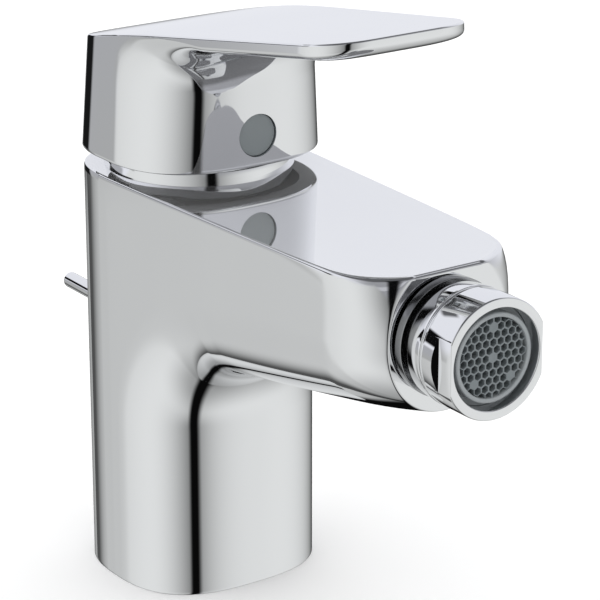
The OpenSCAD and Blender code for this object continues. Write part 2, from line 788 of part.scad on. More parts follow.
// pop-up rod with its handle peg
module pop_up_rod() {
    color("silver") union() {
        translate([0, rod_y, 0]) {
            bar_z(rod_r, rod_foot, peg_z);
            translate([0, 0, peg_z]) sphere(r = rod_r);
        }
        bar_y(peg_r, peg_chamfer - peg_reach, -rod_y, peg_z);
        translate([0, peg_reach - peg_chamfer, peg_z]) rotate([-90, 0, 0])
            cylinder(r1 = peg_r, r2 = peg_r - peg_chamfer, h = peg_chamfer);
    }
}

// guide of the rod
module rod_bush() {
    color("white") translate([0, rod_y, 0])
        tube_z(rod_r + run_gap, rod_r + bush_wall - fit_gap, boss_low, boss_high);
}

// seal under the foot
module base_gasket() {
    color("black") linear_extrude(gasket_h) gasket_outline();
}

body_casting();
lever_handle();
index_plug();
lever_grub_screw();
trim_ring();
cartridge_nut();
cartridge_housing();
cartridge_o_ring();
cartridge_base();
port_seals();
fixed_disc();
moving_disc();
disc_carrier();
cartridge_rotor();
stem_pin();
lever_stem();
ball_nipple();
nipple_seal();
ball_liner();
swivel_housing();
swivel_retainer();
aerator_gasket();
aerator_insert();
aerator_screen();
pop_up_rod();
rod_bush();
base_gasket();
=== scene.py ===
import bpy, bmesh, json, math
from mathutils import Vector, Matrix


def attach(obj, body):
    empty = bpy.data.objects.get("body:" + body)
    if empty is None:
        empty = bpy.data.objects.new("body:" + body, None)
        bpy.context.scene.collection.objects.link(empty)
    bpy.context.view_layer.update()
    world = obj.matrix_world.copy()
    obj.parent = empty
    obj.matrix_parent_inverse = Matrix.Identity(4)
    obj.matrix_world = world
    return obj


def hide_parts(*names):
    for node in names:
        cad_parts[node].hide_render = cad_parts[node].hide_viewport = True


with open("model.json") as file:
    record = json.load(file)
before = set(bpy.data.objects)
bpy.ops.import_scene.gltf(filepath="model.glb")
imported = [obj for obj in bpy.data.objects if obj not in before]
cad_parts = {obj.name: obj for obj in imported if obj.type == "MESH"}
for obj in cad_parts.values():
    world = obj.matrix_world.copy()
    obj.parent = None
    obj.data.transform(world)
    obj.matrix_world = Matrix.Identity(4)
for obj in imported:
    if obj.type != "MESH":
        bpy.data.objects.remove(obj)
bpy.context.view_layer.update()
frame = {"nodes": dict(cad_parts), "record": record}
nodes = frame["nodes"]
mm = 0.001

# shared mesh helpers, all sizes in millimetres until the mesh is made

meshing = {"weld": 1e-6, "thin": 1e-7, "skinSharp": 40, "cutSharp": 35}


def linkMesh(name, points, faces):
    mesh = bpy.data.meshes.new(name)
    mesh.from_pydata([[c * mm for c in point] for point in points], [], faces)
    piece = bpy.data.objects.new(name, mesh)
    bpy.context.scene.collection.objects.link(piece)
    return piece


def weldMesh(mesh, dropThin):
    bm = bmesh.new()
    bm.from_mesh(mesh)
    bmesh.ops.remove_doubles(bm, verts=bm.verts, dist=meshing["weld"])
    if dropThin:
        bmesh.ops.dissolve_degenerate(bm, dist=meshing["thin"], edges=bm.edges)
    bmesh.ops.recalc_face_normals(bm, faces=bm.faces)
    bm.to_mesh(mesh)
    bm.free()


def tidyMesh(mesh, sharpAngle):
    weldMesh(mesh, True)
    mesh.polygons.foreach_set("use_smooth", [True] * len(mesh.polygons))
    mesh.set_sharp_from_angle(angle=math.radians(sharpAngle))
    mesh.update()


def dressPiece(piece, carrier, material, standsFor):
    piece.data.materials.clear()
    piece.data.materials.append(material)
    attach(piece, carrier)
    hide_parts(*standsFor)


def makePiece(name, points, faces, carrier, material, standsFor, sharpAngle):
    piece = linkMesh(name, points, faces)
    tidyMesh(piece.data, sharpAngle)
    dressPiece(piece, carrier, material, standsFor)
    return piece


def roundedPath(corners, steps=6, edgeShare=0.48):
    # corners are (radius, along, rounding); returns the profile with its corners rounded off
    path = []
    for i, (r, along, rounding) in enumerate(corners):
        here = Vector((r, along))
        if rounding <= 0:
            path.append((r, along))
            continue
        before = Vector(corners[i - 1][:2]) - here
        after = Vector(corners[(i + 1) % len(corners)][:2]) - here
        half = before.angle(after) / 2
        cut = min(rounding / math.tan(half), before.length * edgeShare, after.length * edgeShare)
        radius = cut * math.tan(half)
        inwards = (before.normalized() + after.normalized()).normalized()
        middle = here + inwards * (radius / math.sin(half))
        start = here + before.normalized() * cut - middle
        end = here + after.normalized() * cut - middle
        turn = start.angle_signed(end)
        for s in range(steps + 1):
            p = Matrix.Rotation(-turn * s / steps, 2) @ start + middle
            path.append((p.x, p.y))
    return path


def lathe(path, around, place):
    # closed profile turned about an axis; place maps (x, y, along) to the part's frame
    points, faces = [], []
    n = len(path)
    for s in range(around):
        a = 2 * math.pi * s / around
        points += [place(r * math.cos(a), r * math.sin(a), along) for r, along in path]
        t = (s + 1) % around
        for i in range(n):
            j = (i + 1) % n
            faces.append((s * n + i, s * n + j, t * n + j, t * n + i))
    return points, faces


def cutAway(piece, cutters):
    # takes the cutters out of the piece and removes them
    for cutter in cutters:
        change = piece.modifiers.new("cut", "BOOLEAN")
        change.operation = "DIFFERENCE"
        change.solver = "EXACT"
        change.object = cutter
    graph = bpy.context.evaluated_depsgraph_get()
    cutMesh = bpy.data.meshes.new_from_object(piece.evaluated_get(graph))
    piece.modifiers.clear()
    piece.data = cutMesh
    for cutter in cutters:
        bpy.data.objects.remove(cutter)


def prism(outline, heights, place):
    # straight cutter over an outline
    n = len(outline)
    points = [place(x, y, along) for along in heights for x, y in outline]
    faces = [tuple(range(n))[::-1], tuple(range(n, 2 * n))]
    faces += [(i, (i + 1) % n, n + (i + 1) % n, n + i) for i in range(n)]
    cutter = linkMesh("cutter", points, faces)
    weldMesh(cutter.data, False)
    return cutter


def ringOutline(r, n=96, at=(0.0, 0.0)):
    turns = [2 * math.pi * i / n for i in range(n)]
    return [(r * math.cos(a) + at[0], r * math.sin(a) + at[1]) for a in turns]


def boxOutline(x0, x1, y0, y1):
    return [(x0, y0), (x1, y0), (x1, y1), (x0, y1)]


def oval(halfWidth, halfDepth, power, n=120):
    def bulge(value):
        return math.copysign(abs(value) ** (2 / power), value)
    turns = [2 * math.pi * s / n for s in range(n)]
    return [(halfWidth * bulge(math.cos(a)), halfDepth * bulge(math.sin(a))) for a in turns]


def upright(x, y, along):
    return (x, y, along)


def tilted(angle, backAt, upAt):
    # axis in the middle plane, leaning forward from upright by the angle
    c, s = math.cos(math.radians(angle)), math.sin(math.radians(angle))
    return lambda x, y, along: (x, backAt + y * c - along * s, upAt + y * s + along * c)


def mathNodes(tree):
    # gives a function that adds one math node with its inputs set or linked
    def calc(op, *values):
        node = tree.nodes.new("ShaderNodeMath")
        node.operation = op
        for i, value in enumerate(values):
            if isinstance(value, (int, float)):
                node.inputs[i].default_value = value
            else:
                tree.links.new(value, node.inputs[i])
        return node.outputs[0]
    return calc


# materials

grain = {"stretch": (1.0, 1.0, 0.35), "fineRatio": 14.0, "broadDetail": 2.0, "fineDetail": 4.0, "relief": 0.0002}


def finishMarks():
    # slow waviness, fine haze and faint wipe marks of a plated or moulded surface
    group = bpy.data.node_groups.new("finishMarks", "ShaderNodeTree")
    for title, value in (("Scale", 40.0), ("Haze", 0.02), ("Base Roughness", 0.03)):
        made = group.interface.new_socket(title, in_out="INPUT", socket_type="NodeSocketFloat")
        made.default_value = value
    for title in ("Roughness", "Mask", "Height"):
        group.interface.new_socket(title, in_out="OUTPUT", socket_type="NodeSocketFloat")
    add, link, calc = group.nodes.new, group.links.new, mathNodes(group)
    given, out = add("NodeGroupInput"), add("NodeGroupOutput")
    coords = add("ShaderNodeTexCoord").outputs["Object"]
    stretch = add("ShaderNodeMapping")
    stretch.inputs["Scale"].default_value = grain["stretch"]
    broad, fine = add("ShaderNodeTexNoise"), add("ShaderNodeTexNoise")
    broad.inputs["Detail"].default_value = grain["broadDetail"]
    fine.inputs["Detail"].default_value = grain["fineDetail"]
    scale = given.outputs["Scale"]
    link(coords, stretch.inputs["Vector"])
    link(stretch.outputs["Vector"], broad.inputs["Vector"])
    link(coords, fine.inputs["Vector"])
    link(scale, broad.inputs["Scale"])
    link(calc("MULTIPLY", scale, grain["fineRatio"]), fine.inputs["Scale"])
    haze = calc("MULTIPLY", broad.outputs["Fac"], given.outputs["Haze"])
    link(calc("ADD", haze, given.outputs["Base Roughness"]), out.inputs["Roughness"])
    link(broad.outputs["Fac"], out.inputs["Mask"])
    link(fine.outputs["Fac"], out.inputs["Height"])
    return group


marks = finishMarks()


def finish(name, light, dark, metallic, roughness, haze, scale, bump, coat=0.0):
    material = bpy.data.materials.new(name)
    material.use_nodes = True
    tree = material.node_tree
    link = tree.links.new
    shader = tree.nodes["Principled BSDF"]
    group = tree.nodes.new("ShaderNodeGroup")
    group.node_tree = marks
    for title, value in (("Scale", scale), ("Haze", haze), ("Base Roughness", roughness)):
        group.inputs[title].default_value = value
    # of the mix node's sockets, 6 and 7 are its two colours and 2 is the mixed one
    tint = tree.nodes.new("ShaderNodeMix")
    tint.data_type = "RGBA"
    tint.inputs[6].default_value = (*dark, 1)
    tint.inputs[7].default_value = (*light, 1)
    link(group.outputs["Mask"], tint.inputs[0])
    link(tint.outputs[2], shader.inputs["Base Color"])
    link(group.outputs["Roughness"], shader.inputs["Roughness"])
    if bump > 0:
        relief = tree.nodes.new("ShaderNodeBump")
        relief.inputs["Strength"].default_value = bump
        relief.inputs["Distance"].default_value = grain["relief"]
        link(group.outputs["Height"], relief.inputs["Height"])
        link(relief.outputs["Normal"], shader.inputs["Normal"])
    shader.inputs["Metallic"].default_value = metallic
    shader.inputs["Coat Weight"].default_value = coat
    return material


# light and dark colour, metallic, roughness, haze, scale of the marks, bump and coat
chrome = finish("polishedChrome", (0.90, 0.905, 0.915), (0.86, 0.865, 0.88), 1.0, 0.025, 0.02, 35, 0.0)
# the deck's chrome is slightly less metallic so it shows a faint lit veil: painted light on the top face
deckChromePaintedVeil = finish("deckChromePaintedVeil", (0.90, 0.905, 0.915), (0.87, 0.875, 0.885), 0.89, 0.02, 0.015, 35, 0.0)
# dull cast metal for the cap's hollow and the rim's under face, its dark tone partly painted shade
innerCastingPaintedShade = finish("innerCastingPaintedShade", (0.30, 0.305, 0.31), (0.22, 0.222, 0.226), 0.3, 0.5, 0.2, 140, 0.15)
plugGrey = finish("plugGrey", (0.235, 0.26, 0.27), (0.205, 0.23, 0.24), 0.0, 0.38, 0.1, 90, 0.08)
combGrey = finish("combGrey", (0.17, 0.19, 0.20), (0.13, 0.15, 0.16), 0.0, 0.42, 0.12, 120, 0.06)
insertGrey = finish("insertGrey", (0.27, 0.29, 0.30), (0.23, 0.25, 0.26), 0.0, 0.36, 0.1, 100, 0.05)
nippleSteel = finish("nippleSteel", (0.46, 0.465, 0.475), (0.38, 0.385, 0.395), 1.0, 0.12, 0.08, 60, 0.0)
steel = finish("plainSteel", (0.60, 0.60, 0.61), (0.50, 0.50, 0.52), 1.0, 0.28, 0.15, 60, 0.05)
brass = finish("turnedBrass", (0.80, 0.62, 0.30), (0.70, 0.52, 0.24), 1.0, 0.25, 0.15, 60, 0.05)
whitePlastic = finish("mouldedWhite", (0.85, 0.85, 0.83), (0.78, 0.78, 0.76), 0.0, 0.4, 0.12, 70, 0.1)
discCeramic = finish("lappedCeramic", (0.88, 0.86, 0.80), (0.82, 0.80, 0.74), 0.0, 0.22, 0.08, 80, 0.04, 0.2)
rubber = finish("sealRubber", (0.035, 0.035, 0.036), (0.022, 0.022, 0.023), 0.0, 0.6, 0.2, 110, 0.2)
bySlot = {"chrome": chrome, "grey_plastic": plugGrey, "steel": steel, "brass": brass,
    "white_plastic": whitePlastic, "disc_ceramic": discCeramic, "rubber": rubber}
for entry in frame["record"]["subparts"]:
    inside = nodes[entry["node"]]
    inside.data.materials.clear()
    inside.data.materials.append(bySlot[entry["material_slot"]])
print("materials ready")

# skins: a low and a high line per station, closed across and between the two sides


def inset(t, depth, power):
    return depth * (1 - (1 - min(1.0, abs(t)) ** power) ** (1 / power))


def edgeDrop(depth, radius):
    # how far a rounded edge draws in at a given depth below it
    if depth >= radius or radius <= 0:
        return 0.0
    d = radius - max(0.0, depth)
    return radius - math.sqrt(max(0.0, radius * radius - d * d))


skinSteps = {"side": 40, "cross": 30, "bend": 40, "run": 44, "sideEnd": 0.9985}


def stationRow(kinds, edgeShares, start, steps):
    # (kind, share) up from the lower edge, round the fillet and out to the end
    first = [(kinds[0], s) for s in edgeShares]
    first += [(kinds[0], start + (1 - start) * i / steps) for i in range(steps)]
    bends, runs = skinSteps["bend"], skinSteps["run"]
    bend = [(kinds[1], i / bends) for i in range(bends + 1)]
    return first + bend + [(kinds[2], math.sin(math.pi / 2 * i / runs)) for i in range(1, runs + 1)]


def blockFaces(ni, nk, nj):
    # outside of a block of points counted by station, then rung, then level
    def at(i, k, j):
        return (i * (nk + 1) + k) * (nj + 1) + j
    faces = []
    for i in range(ni):
        for j in range(nj):
            faces.append((at(i, 0, j), at(i + 1, 0, j), at(i + 1, 0, j + 1), at(i, 0, j + 1)))
            faces.append((at(i, nk, j), at(i, nk, j + 1), at(i + 1, nk, j + 1), at(i + 1, nk, j)))
        for k in range(nk):
            faces.append((at(i, k, 0), at(i, k + 1, 0), at(i + 1, k + 1, 0), at(i + 1, k, 0)))
            faces.append((at(i, k, nj), at(i + 1, k, nj), at(i + 1, k + 1, nj), at(i, k + 1, nj)))
    for k in range(nk):
        for j in range(nj):
            faces.append((at(0, k, j), at(0, k, j + 1), at(0, k + 1, j + 1), at(0, k + 1, j)))
            faces.append((at(ni, k, j), at(ni, k + 1, j), at(ni, k + 1, j + 1), at(ni, k, j + 1)))
    return faces


def skin(stations, low, high, point):
    # low and high give (forward, up) for kind, share and side level; point gives the place in the frame
    n, m = skinSteps["side"], skinSteps["cross"]
    levels = [skinSteps["sideEnd"] * math.sin(math.pi / 2 * (j - n) / n) for j in range(2 * n + 1)]
    cross = [math.sin(math.pi / 2 * k / m) for k in range(m + 1)]
    points = []
    for kind, share in stations:
        ends = [(t, low(kind, share, t), high(kind, share, t)) for t in levels]
        for v in cross:
            points += [point(kind, a[0] * (1 - v) + b[0] * v, a[1] * (1 - v) + b[1] * v, t) for t, a, b in ends]
    return points, blockFaces(len(stations) - 1, len(cross) - 1, len(levels) - 1)


# cast body: column, concave fillet, spout and nose

body = {"halfWidth": 25.5, "halfDepth": 22.65, "power": 2.79, "deck": 100.0, "outlet": 85.1,
    "nose": 95.5, "noseLow": 68.6, "noseMiddle": 85.6, "noseHalfHeight": 17.5, "noseInset": 17.0,
    "nosePower": 2.05, "nosePowerRise": 0.5, "noseLimit": 0.9999, "rise": 8.8, "fillet": 18.0,
    "taper": 0.029, "taperPower": 1.1, "pinch": 5.5, "pinchLength": 13.5, "pinchPower": 3.0, "crease": 0.2,
    "deckEdge": 0.55, "noseEdge": 0.3, "footEdge": 0.3, "flatCosine": 0.9995, "flatDepth": 0.05}
bodyStations = stationRow(("column", "fillet", "run"), (0.0, 0.002, 0.004, 0.007, 0.02), 0.05, 15)
rise = math.radians(body["rise"])
underStart = body["halfDepth"] + body["fillet"] - body["fillet"] * math.sin(rise)
filletZ = body["noseLow"] - body["fillet"] * math.cos(rise) - (body["nose"] - underStart) * math.tan(rise)


def bodyHalfWidth(f, z):
    b = body
    pinch = max(0.0, (f - b["nose"] + b["pinchLength"]) / b["pinchLength"])
    drawn = b["crease"] * pinch + (1 - b["crease"]) * pinch ** b["pinchPower"]
    width = b["halfWidth"] - b["taper"] * max(0.0, f) ** b["taperPower"] - b["pinch"] * drawn
    power = b["nosePower"] + b["nosePowerRise"] * max(0.0, b["nose"] - f)
    up = min(b["noseLimit"], max(0.0, z - b["noseMiddle"]) / b["noseHalfHeight"])
    return width * (1 - up ** power) ** (1 / power)


def bodyLow(kind, share, t):
    b = body
    if kind == "column":
        return b["halfDepth"] - inset(t, b["halfDepth"], b["power"]), filletZ * share
    if kind == "fillet":
        a = math.pi - (math.pi / 2 - rise) * share
        d = b["fillet"] + inset(t, b["halfDepth"], b["power"])
        return b["halfDepth"] + b["fillet"] + d * math.cos(a), filletZ + d * math.sin(a)
    depth = b["halfDepth"] + (b["noseInset"] - b["halfDepth"]) * share * share
    power = b["power"] + (b["nosePower"] - b["power"]) * share * share
    d = inset(t, depth, power)
    f = underStart + (b["nose"] - underStart) * share
    z = b["noseLow"] - (b["nose"] - f) * math.tan(rise)
    return f - d * math.sin(rise) * (1 - share), z + d / math.cos(rise)


def bodyHigh(kind, share, t):
    b = body
    back = -b["halfDepth"] + inset(t, b["halfDepth"], b["power"])
    low = bodyLow(kind, share, t)
    if kind == "column":
        return back, low[1]
    if kind == "run":
        return low[0], b["deck"]
    if share <= 0.5:
        # up the back, closer together under the deck edge
        return back, filletZ + (b["deck"] - filletZ) * math.sin(math.pi * share)
    return back + (bodyLow("fillet", 1.0, t)[0] - back) * (2 * share - 1), b["deck"]


def bodyPoint(kind, f, z, t):
    # draws the skin in at the edges of deck, foot and nose
    b = body
    draw = edgeDrop(b["deck"] - z, b["deckEdge"]) + edgeDrop(z, b["footEdge"])
    noseDraw = edgeDrop(b["nose"] - f, b["noseEdge"])
    x = t * max(0.0, bodyHalfWidth(f, z) - draw - noseDraw)
    if f < 0 or kind == "column":
        y = f * (1 - draw / b["halfDepth"])
    else:
        y = f - draw * min(1.0, f / b["nose"])
    z += noseDraw * (b["noseMiddle"] - z) / b["noseHalfHeight"]
    return (x, -y, min(z, b["deck"]))


def outletAxis(x, y, along):
    return (x, -along, y + body["outlet"])


bodyCuts = {"pocket": 17.6, "pocketHeights": (60, 95), "ringSeat": 19.05, "ringHeights": (90, 101),
    "foot": (22.3, 19.45), "footHeights": (-1, 36), "spout": 9.05, "spoutReach": (84.2, 97),
    "rodSlot": (-2.7, 2.7, 12.6, 24), "rodHeights": (24, 55.3), "boreHeights": (35, 48), "boreSteps": 48,
    "bores": ((3.32, (0.0, 4.0)), (4.45, (7.2, -5.0)), (4.45, (-7.2, -5.0)))}


def makeBody():
    b, c = body, bodyCuts
    points, faces = skin(bodyStations, bodyLow, bodyHigh, bodyPoint)
    shell = makePiece("bodyShell", points, faces, "body", chrome, ("body_casting",), meshing["skinSharp"])
    cutters = [
        prism(ringOutline(c["pocket"]), c["pocketHeights"], upright),
        prism(ringOutline(c["ringSeat"]), c["ringHeights"], upright),
        prism(oval(*c["foot"], b["power"]), c["footHeights"], upright),
        prism(ringOutline(c["spout"]), c["spoutReach"], outletAxis),
        prism(boxOutline(*c["rodSlot"]), c["rodHeights"], upright)]
    for radius, at in c["bores"]:
        cutters.append(prism(ringOutline(radius, c["boreSteps"], at), c["boreHeights"], upright))
    cutAway(shell, cutters)
    tidyMesh(shell.data, meshing["cutSharp"])
    # deck and end face stay flat, and the deck gets a lighter copy of the chrome: a painted light veil on the top
    # face
    shell.data.materials.append(deckChromePaintedVeil)
    for face in shell.data.polygons:
        onDeck = face.normal.z > b["flatCosine"] and face.center.z > (b["deck"] - b["flatDepth"]) * mm
        onNose = face.normal.y < -b["flatCosine"] and face.center.y < -(b["nose"] - b["flatDepth"]) * mm
        if onDeck or onNose:
            face.use_smooth = False
        face.material_index = 1 if onDeck else 0
    return shell


print("body shell", len(makeBody().data.polygons))

# lever: hollow cap running into a flat blade

lever = {"rim": 104.2, "halfWidth": 26.2, "front": 24.8, "back": 21.8, "taper": 0.055, "power": 2.79,
    "fillet": 12.0, "softPower": 3.0, "sineLimit": 0.01, "tip": 80.2, "thick": 4.2, "edge": 3.2, "rise": 9.1,
    "top": 133.3, "archRadius": 400.0, "archStart": 20.0, "bladePower": 4.0, "bladeTaper": 0.062,
    "bladeTaperStart": 5.0, "tipHalf": 9.0, "tipLength": 10.2, "tipPower": 2.2, "tipUnder": 7.0,
    "topEdge": 0.45, "rimEdge": 0.5}
leverStations = stationRow(("cap", "bend", "blade"), (0.0, 0.006, 0.014, 0.024, 0.05), 0.1, 12)
bladeRise = math.radians(lever["rise"])


def leverHalfWidth(f, z):
    p = lever
    w = p["halfWidth"] - p["taper"] * (z - p["rim"]) - p["bladeTaper"] * max(0.0, f - p["bladeTaperStart"])
    e = min(1.0, max(0.0, (f - p["tip"] + p["tipLength"]) / p["tipLength"]))
    return p["tipHalf"] + (w - p["tipHalf"]) * (1 - e ** p["tipPower"]) ** (1 / p["tipPower"])


def leverTop(f):
    p = lever
    q = min(0.0, f - p["archStart"])
    return p["top"] + math.tan(bladeRise) * f + (p["archStart"] ** 2 - q * q) / (2 * p["archRadius"])


tipLow = leverTop(lever["tip"]) - lever["thick"] / math.cos(bladeRise)
bendF = lever["front"] + lever["fillet"]
bendZ = tipLow - (lever["tip"] - bendF) * math.tan(bladeRise) - lever["fillet"] / math.cos(bladeRise)
bladeStart = bendF - lever["fillet"] * math.sin(bladeRise)


def bendDepth(a):
    p = lever
    room = (p["fillet"] + p["edge"]) / max(p["sineLimit"], math.sin(a)) - p["fillet"]
    return (p["front"] ** -p["softPower"] + room ** -p["softPower"]) ** (-1 / p["softPower"])


def leverLow(kind, share, t):
    p = lever
    if kind == "cap":
        return p["front"] - inset(t, p["front"], p["power"]), p["rim"] + (bendZ - p["rim"]) * share
    if kind == "bend":
        a = math.pi - (math.pi / 2 - bladeRise) * share
        power = p["power"] + (p["bladePower"] - p["power"]) * share
        d = p["fillet"] + inset(t, bendDepth(a), power)
        return bendF + d * math.cos(a), bendZ + d * math.sin(a)
    f = bladeStart + (p["tip"] - bladeStart) * share
    e = max(0.0, f - p["tip"] + p["tipUnder"]) / p["tipUnder"]
    rounding = 1 - (1 - inset(t, 1, p["bladePower"])) * (1 - inset(e, 1, p["tipPower"]))
    return f, tipLow - (p["tip"] - f) * math.tan(bladeRise) + p["edge"] * rounding


def capBack(z, t):
    return -lever["back"] + (z - lever["rim"]) * lever["taper"] + inset(t, lever["back"], lever["power"])


def leverHigh(kind, share, t):
    low = leverLow(kind, share, t)
    if kind == "cap":
        return capBack(low[1], t), low[1]
    if kind == "blade":
        return low[0], leverTop(low[0])
    back = capBack(leverTop(-lever["back"]), t)
    if share <= 0.5:
        start = leverLow("bend", 0.0, t)[1]
        z = start + (leverTop(back) - start) * math.sin(math.pi * share)
        return capBack(z, t), z
    f = back + (leverLow("bend", 1.0, t)[0] - back) * (2 * share - 1)
    return f, leverTop(f)


def leverPoint(kind, f, z, t):
    # draws the skin in at the edges of top and rim
    p = lever
    draw = edgeDrop(leverTop(f) - z, p["topEdge"]) + edgeDrop(z - p["rim"], p["rimEdge"])
    x = t * max(0.0, leverHalfWidth(f, z) - draw)
    y = f - draw * (f / p["back"] if f < 0 else min(1.0, f / p["front"]))
    return (x, -y, z)


leverCuts = {"plugAt": 111.6, "plugSeat": 5.0, "plugReach": (-3.2, 6), "hollow": (21.8, 18.4), "hollowFront": 20.4,
    "hollowHeights": (103, 124.5), "socket": (-8, 8, -9.5, 8), "socketHeights": (108.2, 126),
    "thin": (24.6, 20.2), "thinFrom": -1, "thinHeights": (103, 110.2), "backFrom": -0.01,
    "heelAngle": 26, "heelAt": 13, "heelBlock": 48}
# which lever faces get the dull casting with painted shade: the hollow, the core and the rim's under face
castingAndShade = {"top": 124.8, "core": (15, 14), "reach": 22, "inward": -0.5, "underCosine": -0.95, "rimDepth": 0.6}
plugAxis = tilted(90, -lever["front"], leverCuts["plugAt"])


def leverCutters():
    # plug seat, cap hollow around the stem socket, and the heel that clears the deck
    p, c = lever, leverCuts
    frontShare = c["hollowFront"] / c["hollow"][1]
    hollow = prism([(x, y if y > 0 else y * frontShare) for x, y in oval(*c["hollow"], p["power"])],
        c["hollowHeights"], upright)
    cutAway(hollow, [prism(boxOutline(*c["socket"]), c["socketHeights"], upright)])
    half, block = c["thin"][0], c["heelBlock"]
    backHalf = [q for q in oval(*c["thin"], p["power"]) if q[1] > c["backFrom"]][::-1]
    thinned = prism([(-half, c["thinFrom"])] + backHalf + [(half, c["thinFrom"])], c["thinHeights"], upright)
    heel = prism(boxOutline(-block, block, 0, block), (-block, 0), tilted(c["heelAngle"], c["heelAt"], p["rim"]))
    return [prism(ringOutline(c["plugSeat"]), c["plugReach"], plugAxis), hollow, thinned, heel]


def makeLever():
    points, faces = skin(leverStations, leverLow, leverHigh, leverPoint)
    shell = makePiece("leverShell", points, faces, "lever", chrome, ("lever_handle",), meshing["skinSharp"])
    cutAway(shell, leverCutters())
    tidyMesh(shell.data, meshing["cutSharp"])
    # the rim's under face and the hollow get dull cast metal, darkened as painted shade
    shell.data.materials.append(innerCastingPaintedShade)
    g = castingAndShade
    for face in shell.data.polygons:
        x, y, z = face.center / mm
        inward = face.normal.x * x + face.normal.y * y < g["inward"]
        inCore = abs(x) < g["core"][0] and abs(y) < g["core"][1]
        hollowed = z < g["top"] and (inward or inCore) and abs(y) < g["reach"]
        if hollowed or (face.normal.z < g["underCosine"] and z < lever["rim"] + g["rimDepth"]):
            face.material_index = 1
    return shell


print("lever shell", len(makeLever().data.polygons))

# turned pieces

turned = {"steps": 128, "sharp": 50}


def turnedPiece(name, corners, place, carrier, material, standsFor):
    points, faces = lathe(roundedPath(corners), turned["steps"], place)
    return makePiece(name, points, faces, carrier, material, standsFor, turned["sharp"])


def arcCorners(radius, centre, first, last, steps):
    # plain corners along an arc round a point on the axis, angles from the axis
    turns = [first + (last - first) * i / steps for i in range(steps + 1)]
    return [(radius * math.sin(a), centre + radius * math.cos(a), 0) for a in turns]


ring = {"foot": 22.2, "slope": 12, "bore": 19.4, "low": 100.0, "lip": 101.4, "top": 103.2, "inner": 14.5,
    "footEdge": 0.05, "topEdge": 0.3, "innerEdge": 0.25}


def makeRing():
    r = ring
    top = r["foot"] - (r["top"] - r["low"]) * math.tan(math.radians(r["slope"]))
    turnedPiece("trimRing", [(r["bore"], r["low"], 0), (r["foot"], r["low"], r["footEdge"]),
        (top, r["top"], r["topEdge"]), (r["inner"], r["top"], r["innerEdge"]), (r["inner"], r["lip"], 0),
        (r["bore"], r["lip"], 0)], upright, "body", chrome, ("trim_ring",))


makeRing()

nipple = {"bore": 6.0, "neck": 9.0, "collar": 11.2, "flange": 13.1, "flangeEnd": 96.5, "start": 86.5, "face": 95.5,
    "collarEnd": 101.2, "ball": 9.3, "ballAt": 104.0, "ballEnd": 2.2, "ballSteps": 20,
    "neckEdge": 0.4, "flangeEdge": 0.15, "flangeRoot": 0.1, "collarEdge": 0.3}


def makeNipple():
    n = nipple
    first = math.acos((n["collarEnd"] - n["ballAt"]) / n["ball"])
    ball = arcCorners(n["ball"], n["ballAt"], first, math.acos(n["ballEnd"] / n["ball"]), n["ballSteps"])
    turnedPiece("ballNipple", [(n["bore"], n["start"], 0), (n["neck"], n["start"], n["neckEdge"]),
        (n["neck"], n["face"], 0), (n["flange"], n["face"], 0), (n["flange"], n["flangeEnd"], n["flangeEdge"]),
        (n["collar"], n["flangeEnd"], n["flangeRoot"]), (n["collar"], n["collarEnd"], n["collarEdge"])] + ball
        + [(n["bore"], n["ballAt"] + n["ballEnd"], 0)],
        outletAxis, "body", nippleSteel, ("ball_nipple",))


makeNipple()

retainer = {"socket": 9.99, "bore": 12.3, "land": 103.0, "boreEdge": 0.1, "skirt": 12.9, "skirtEnd": 98.5,
    "skirtEdge": 0.2, "bead": 13.2, "beadFrom": 102.3, "beadTo": 102.8, "beadEdge": 0.15,
    "groove": 12.8, "grooveFrom": 102.95, "grooveEdge": 0.05, "back": 103.6}


def makeRetainer():
    t = retainer
    turnedPiece("swivelRetainer", [(t["socket"], t["land"], 0), (t["bore"], t["land"], t["boreEdge"]),
        (t["bore"], t["skirtEnd"], t["boreEdge"]), (t["skirt"], t["skirtEnd"], t["skirtEdge"]),
        (t["bead"], t["beadFrom"], t["beadEdge"]), (t["bead"], t["beadTo"], t["beadEdge"]),
        (t["groove"], t["grooveFrom"], t["grooveEdge"]), (t["groove"], t["back"], t["grooveEdge"]),
        (t["socket"], t["back"], 0)], outletAxis, "swivel", chrome, ("swivel_retainer",))


makeRetainer()

housing = {"radius": 13.2, "back": 103.6, "rim": 111.9, "bore": 11.05, "seat": 106.8, "socket": 9.99,
    "socketSteps": 8, "backEdge": 0.3, "rimEdge": 0.35, "boreEdge": 0.3, "flat": 11.8, "flatLength": 4.2,
    "flatRun": 1.26, "flatReach": 15, "past": 1}


def makeHousing():
    h = housing
    first = math.acos((h["seat"] - nipple["ballAt"]) / h["socket"])
    socket = arcCorners(h["socket"], nipple["ballAt"], first, math.pi / 2, h["socketSteps"])
    piece = turnedPiece("swivelHousing", [(h["socket"], h["back"], 0), (h["radius"], h["back"], h["backEdge"]),
        (h["radius"], h["rim"], h["rimEdge"]), (h["bore"], h["rim"], h["boreEdge"]), (h["bore"], h["seat"], 0)]
        + socket, outletAxis, "swivel", chrome, ("swivel_housing",))
    outside, front, flatBack = h["radius"] + h["past"], h["rim"] + h["past"], h["rim"] - h["flatLength"]
    slab = [(h["flat"], front), (outside, front), (outside, flatBack - h["flatRun"]), (h["flat"], flatBack)]
    level = lambda x, y, along: (x, -y, along + body["outlet"])
    heights = (-h["flatReach"], h["flatReach"])
    cutAway(piece, [prism([(side * x, f) for x, f in slab], heights, level) for side in (-1, 1)])
    tidyMesh(piece.data, meshing["cutSharp"])


makeHousing()

insert = {"bore": 8.72, "flange": 11.0, "back": 107.6, "step": 108.2, "stepEdge": 0.1, "wall": 9.75, "front": 110.9,
    "frontEdge": 0.35, "boreEdge": 0.3}


